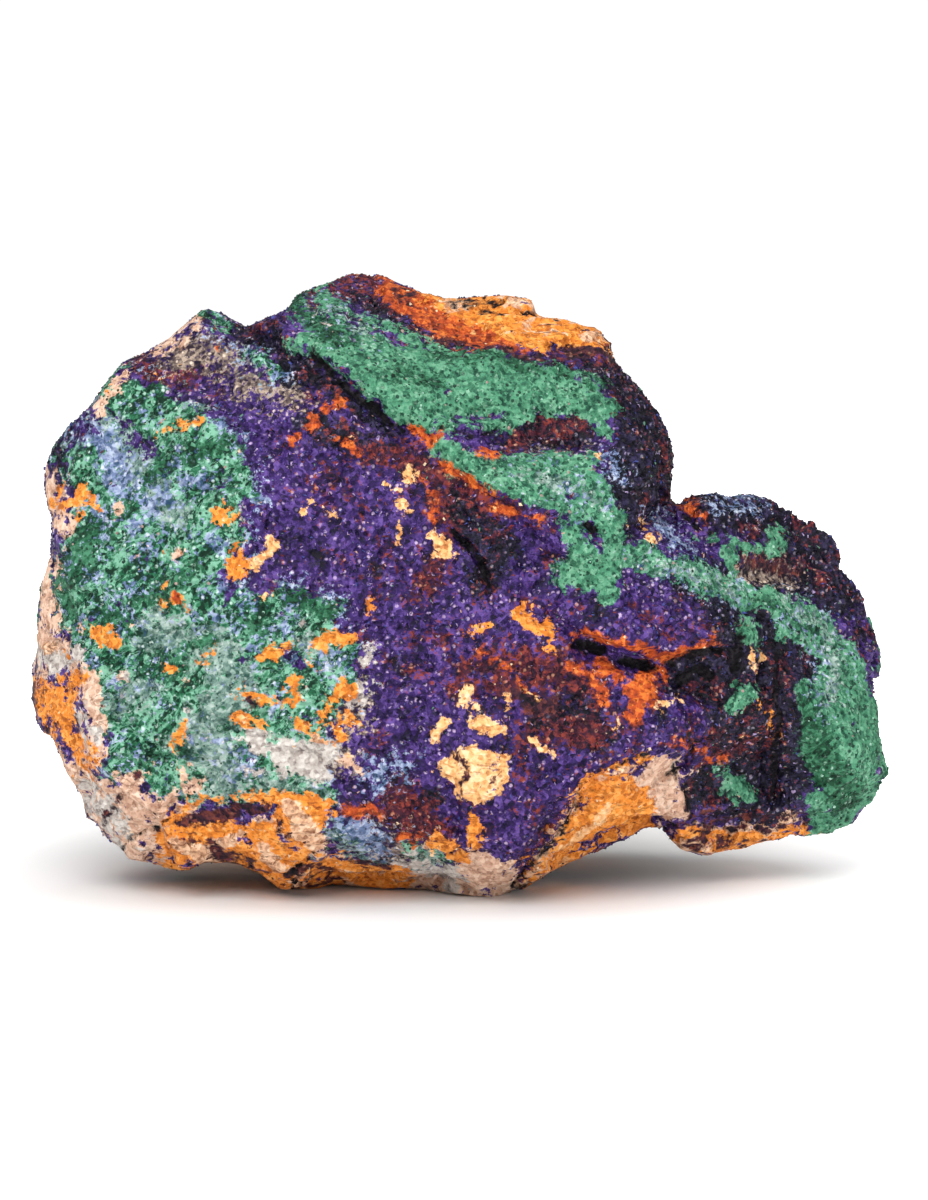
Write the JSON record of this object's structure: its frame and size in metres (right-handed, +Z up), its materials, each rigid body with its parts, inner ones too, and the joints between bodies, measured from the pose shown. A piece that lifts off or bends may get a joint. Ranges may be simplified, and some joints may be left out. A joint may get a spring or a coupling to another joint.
{
  "type": "rough azurite malachite stone",
  "caption": "Rough azurite and malachite hand specimen: one craggy stone with a lower lobe on the right, standing upright on a flat foot.",
  "frame": {"origin": "centre of the stone's footprint, on the surface that it stands on", "axes": "+Z up, +X to the right along the stone's length as the picture shows it, +Y away from the viewer through its thickness"},
  "size_m": [0.1184, 0.0571, 0.0842],
  "materials": {
    "azurite_malachite": "rough mineral: deep violet blue azurite, green malachite crust, orange limonite and pale clay"
  },
  "bodies": {
    "root": {"azurite_malachite_stone": "azurite_malachite"}
  },
  "joints": []
}
